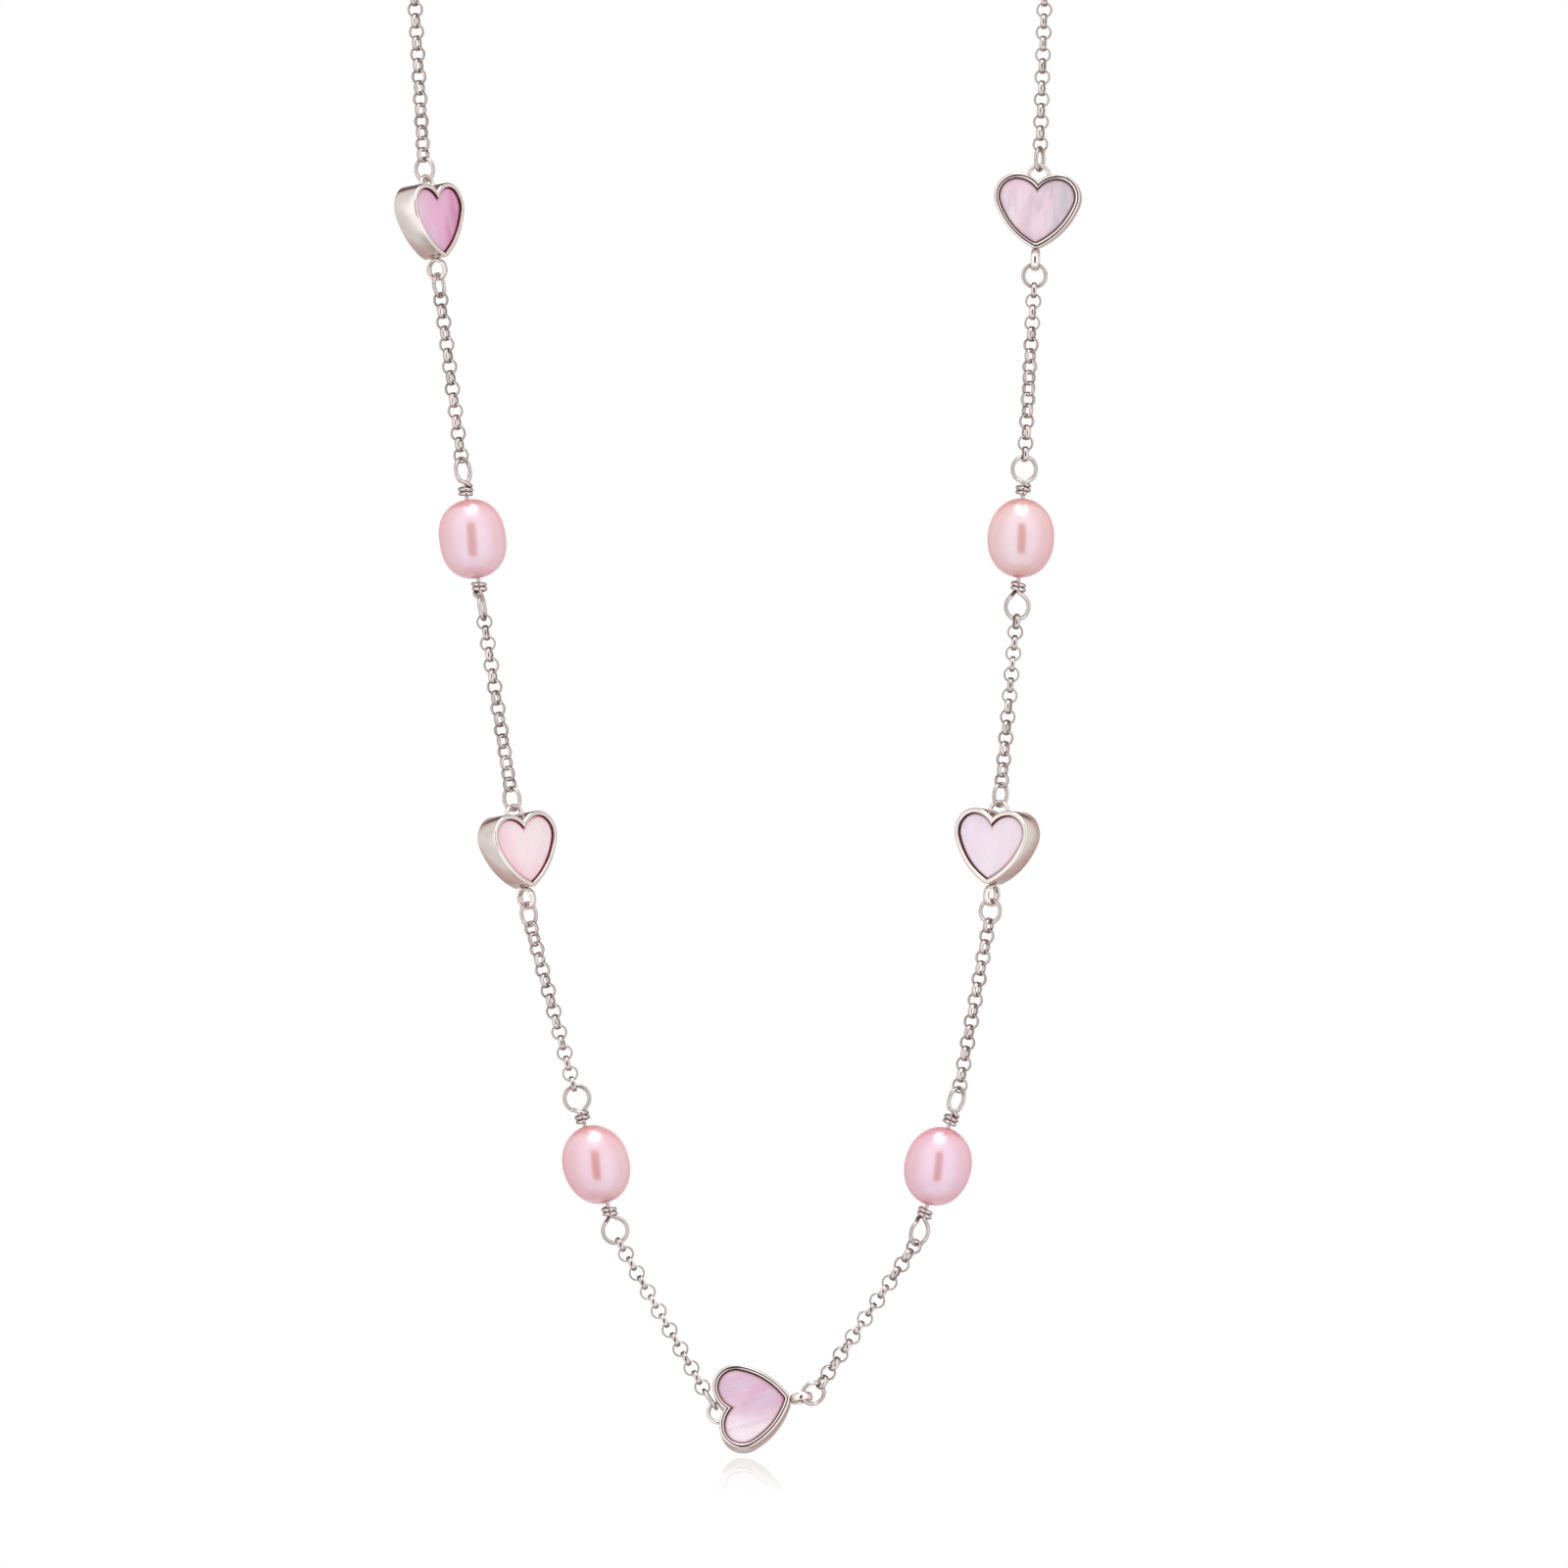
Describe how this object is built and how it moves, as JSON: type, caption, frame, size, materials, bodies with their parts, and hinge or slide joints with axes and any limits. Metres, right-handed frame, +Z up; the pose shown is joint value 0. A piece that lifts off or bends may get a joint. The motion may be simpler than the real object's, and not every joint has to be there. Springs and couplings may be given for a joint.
{
  "type": "pearl station necklace",
  "caption": "Fine chain necklace with drop-shaped run of double-sided heart charms and oval pearls on wire loops, closed by a spring-ring clasp.",
  "frame": {"origin": "top of the neck form that the necklace hangs on, under the end ring of the clasp", "axes": "+Z up along the hanging necklace, +X to the viewer's right, +Y away from the viewer"},
  "size_m": [0.0747, 0.0094, 0.2086],
  "materials": {
    "silver": "polished",
    "mother_of_pearl": "gloss",
    "pearl": "gloss",
    "spring_steel": "satin"
  },
  "bodies": {
    "neck_chain": {"back_chain_left": "silver", "back_chain_right": "silver", "clasp_tube": "silver", "clasp_spring": "spring_steel", "clasp_jump_ring": "silver", "end_ring": "silver"},
    "clasp_bolt": {"clasp_bolt": "silver"},
    "chain_1_left": {"chain_1_left": "silver", "jump_ring_above_1_left": "silver"},
    "heart_1_left": {"heart_bezel_1_left": "silver", "inlay_front_1_left": "mother_of_pearl", "inlay_back_1_left": "mother_of_pearl"},
    "chain_2_left": {"jump_ring_below_1_left": "silver", "chain_2_left": "silver"},
    "pearl_link_2_left": {"pearl_wire_2_left": "silver", "end_links_2_left": "silver"},
    "pearl_2_left": {"pearl_2_left": "pearl"},
    "chain_3_left": {"chain_3_left": "silver", "jump_ring_above_3_left": "silver"},
    "heart_3_left": {"heart_bezel_3_left": "silver", "inlay_front_3_left": "mother_of_pearl", "inlay_back_3_left": "mother_of_pearl"},
    "chain_4_left": {"jump_ring_below_3_left": "silver", "chain_4_left": "silver"},
    "pearl_link_4_left": {"pearl_wire_4_left": "silver"},
    "pearl_4_left": {"pearl_4_left": "pearl"},
    "chain_5_left": {"chain_5_left": "silver", "jump_ring_5_left": "silver"},
    "chain_1_right": {"chain_1_right": "silver", "jump_ring_above_1_right": "silver"},
    "heart_1_right": {"heart_bezel_1_right": "silver", "inlay_front_1_right": "mother_of_pearl", "inlay_back_1_right": "mother_of_pearl"},
    "chain_2_right": {"jump_ring_below_1_right": "silver", "chain_2_right": "silver"},
    "pearl_link_2_right": {"pearl_wire_2_right": "silver"},
    "pearl_2_right": {"pearl_2_right": "pearl"},
    "chain_3_right": {"chain_3_right": "silver", "jump_ring_above_3_right": "silver"},
    "heart_3_right": {"heart_bezel_3_right": "silver", "inlay_front_3_right": "mother_of_pearl", "inlay_back_3_right": "mother_of_pearl"},
    "chain_4_right": {"jump_ring_below_3_right": "silver", "chain_4_right": "silver"},
    "pearl_link_4_right": {"pearl_wire_4_right": "silver", "end_links_4_right": "silver"},
    "pearl_4_right": {"pearl_4_right": "pearl"},
    "chain_5_right": {"chain_5_right": "silver", "jump_ring_5_right": "silver"},
    "heart_5": {"heart_bezel_5": "silver", "inlay_front_5": "mother_of_pearl", "inlay_back_5": "mother_of_pearl"}
  },
  "joints": [
    {"name": "swing_1_left", "type": "hinge", "parent": "neck_chain", "child": "chain_1_left", "pos_m": [-0.03479, 0, -0.0326], "axis": [1, 0, 0], "range_deg": [-35, 35]},
    {"name": "swing_2_left", "type": "hinge", "parent": "chain_2_left", "child": "pearl_link_2_left", "pos_m": [-0.02912, 0, -0.09556], "axis": [0.9999, 0, -0.017], "range_deg": [-35, 35]},
    {"name": "swing_3_left", "type": "hinge", "parent": "pearl_link_2_left", "child": "chain_3_left", "pos_m": [-0.02624, 0, -0.11599], "axis": [0.9998, 0, 0.0211], "range_deg": [-35, 35]},
    {"name": "swing_4_left", "type": "hinge", "parent": "chain_4_left", "child": "pearl_link_4_left", "pos_m": [-0.01681, 0, -0.16496], "axis": [0.9997, 0, 0.0236], "range_deg": [-35, 35]},
    {"name": "swing_5_left", "type": "hinge", "parent": "pearl_link_4_left", "child": "chain_5_left", "pos_m": [-0.01164, 0, -0.18239], "axis": [0.9993, 0, -0.0378], "range_deg": [-35, 35]},
    {"name": "twist_1_left", "type": "hinge", "parent": "chain_1_left", "child": "heart_1_left", "pos_m": [-0.0322, 0, -0.0714], "axis": [0.1219, 0, -0.9925], "range_deg": [-25, 25]},
    {"name": "untwist_1_left", "type": "hinge", "parent": "heart_1_left", "child": "chain_2_left", "pos_m": [-0.0322, 0, -0.0714], "axis": [0.1219, 0, -0.9925], "range_deg": [-25, 25]},
    {"name": "twist_3_left", "type": "hinge", "parent": "chain_3_left", "child": "heart_3_left", "pos_m": [-0.0226, 0, -0.1397], "axis": [0.1444, 0, -0.9895], "range_deg": [-25, 25]},
    {"name": "untwist_3_left", "type": "hinge", "parent": "heart_3_left", "child": "chain_4_left", "pos_m": [-0.0226, 0, -0.1397], "axis": [0.1444, 0, -0.9895], "range_deg": [-25, 25]},
    {"name": "spin_2_left", "type": "hinge", "parent": "pearl_link_2_left", "child": "pearl_2_left", "pos_m": [-0.0277, 0, -0.1058], "axis": [0.1392, 0, -0.9903], "continuous": true},
    {"name": "spin_4_left", "type": "hinge", "parent": "pearl_link_4_left", "child": "pearl_4_left", "pos_m": [-0.0143, 0, -0.1737], "axis": [0.2773, 0, -0.9608], "continuous": true},
    {"name": "swing_1_right", "type": "hinge", "parent": "neck_chain", "child": "chain_1_right", "pos_m": [0.03479, 0, -0.0326], "axis": [1, 0, 0], "range_deg": [-35, 35]},
    {"name": "swing_2_right", "type": "hinge", "parent": "chain_2_right", "child": "pearl_link_2_right", "pos_m": [0.03226, 0, -0.09661], "axis": [0.9999, 0, -0.017], "range_deg": [-35, 35]},
    {"name": "swing_3_right", "type": "hinge", "parent": "pearl_link_2_right", "child": "chain_3_right", "pos_m": [0.03132, 0, -0.11477], "axis": [0.9998, 0, 0.0211], "range_deg": [-35, 35]},
    {"name": "swing_4_right", "type": "hinge", "parent": "chain_4_right", "child": "pearl_link_4_right", "pos_m": [0.02539, 0, -0.16396], "axis": [0.9997, 0, 0.0236], "range_deg": [-35, 35]},
    {"name": "swing_5_right", "type": "hinge", "parent": "pearl_link_4_right", "child": "chain_5_right", "pos_m": [0.01953, 0, -0.18357], "axis": [0.9993, 0, -0.0378], "range_deg": [-35, 35]},
    {"name": "twist_1_right", "type": "hinge", "parent": "chain_1_right", "child": "heart_1_right", "pos_m": [0.0336, 0, -0.0703], "axis": [-0.0436, 0, -0.999], "range_deg": [-25, 25]},
    {"name": "untwist_1_right", "type": "hinge", "parent": "heart_1_right", "child": "chain_2_right", "pos_m": [0.0336, 0, -0.0703], "axis": [-0.0436, 0, -0.999], "range_deg": [-25, 25]},
    {"name": "twist_3_right", "type": "hinge", "parent": "chain_3_right", "child": "heart_3_right", "pos_m": [0.0291, 0, -0.1393], "axis": [-0.0872, 0, -0.9962], "range_deg": [-25, 25]},
    {"name": "untwist_3_right", "type": "hinge", "parent": "heart_3_right", "child": "chain_4_right", "pos_m": [0.0291, 0, -0.1393], "axis": [-0.0872, 0, -0.9962], "range_deg": [-25, 25]},
    {"name": "spin_2_right", "type": "hinge", "parent": "pearl_link_2_right", "child": "pearl_2_right", "pos_m": [0.0318, 0, -0.1057], "axis": [-0.0506, 0, -0.9987], "continuous": true},
    {"name": "spin_4_right", "type": "hinge", "parent": "pearl_link_4_right", "child": "pearl_4_right", "pos_m": [0.0228, 0, -0.1739], "axis": [-0.2672, 0, -0.9636], "continuous": true},
    {"name": "twist_5", "type": "hinge", "parent": "chain_5_left", "child": "heart_5", "pos_m": [-0.00137, 0, -0.20001], "axis": [0.9974, 0, 0.072], "range_deg": [-5, 28]},
    {"name": "clasp_bolt_draw", "type": "hinge", "parent": "neck_chain", "child": "clasp_bolt", "pos_m": [0.00104, 0, 0.00183], "axis": [0, 0, 1], "range_deg": [0, 64], "stiffness_Nm_per_rad": 0.002, "springref_deg": -17.19, "deforming": ["clasp_spring"]}
  ],
  "couplings": [
    {"joint": "untwist_1_left", "follows": "twist_1_left", "ratio": -1},
    {"joint": "untwist_3_left", "follows": "twist_3_left", "ratio": -1},
    {"joint": "swing_1_right", "follows": "swing_1_left", "ratio": 1},
    {"joint": "swing_2_right", "follows": "swing_2_left", "ratio": 1},
    {"joint": "swing_3_right", "follows": "swing_3_left", "ratio": 1},
    {"joint": "swing_4_right", "follows": "swing_4_left", "ratio": 1},
    {"joint": "swing_5_right", "follows": "swing_5_left", "ratio": 1},
    {"joint": "untwist_1_right", "follows": "twist_1_right", "ratio": -1},
    {"joint": "untwist_3_right", "follows": "twist_3_right", "ratio": -1}
  ]
}
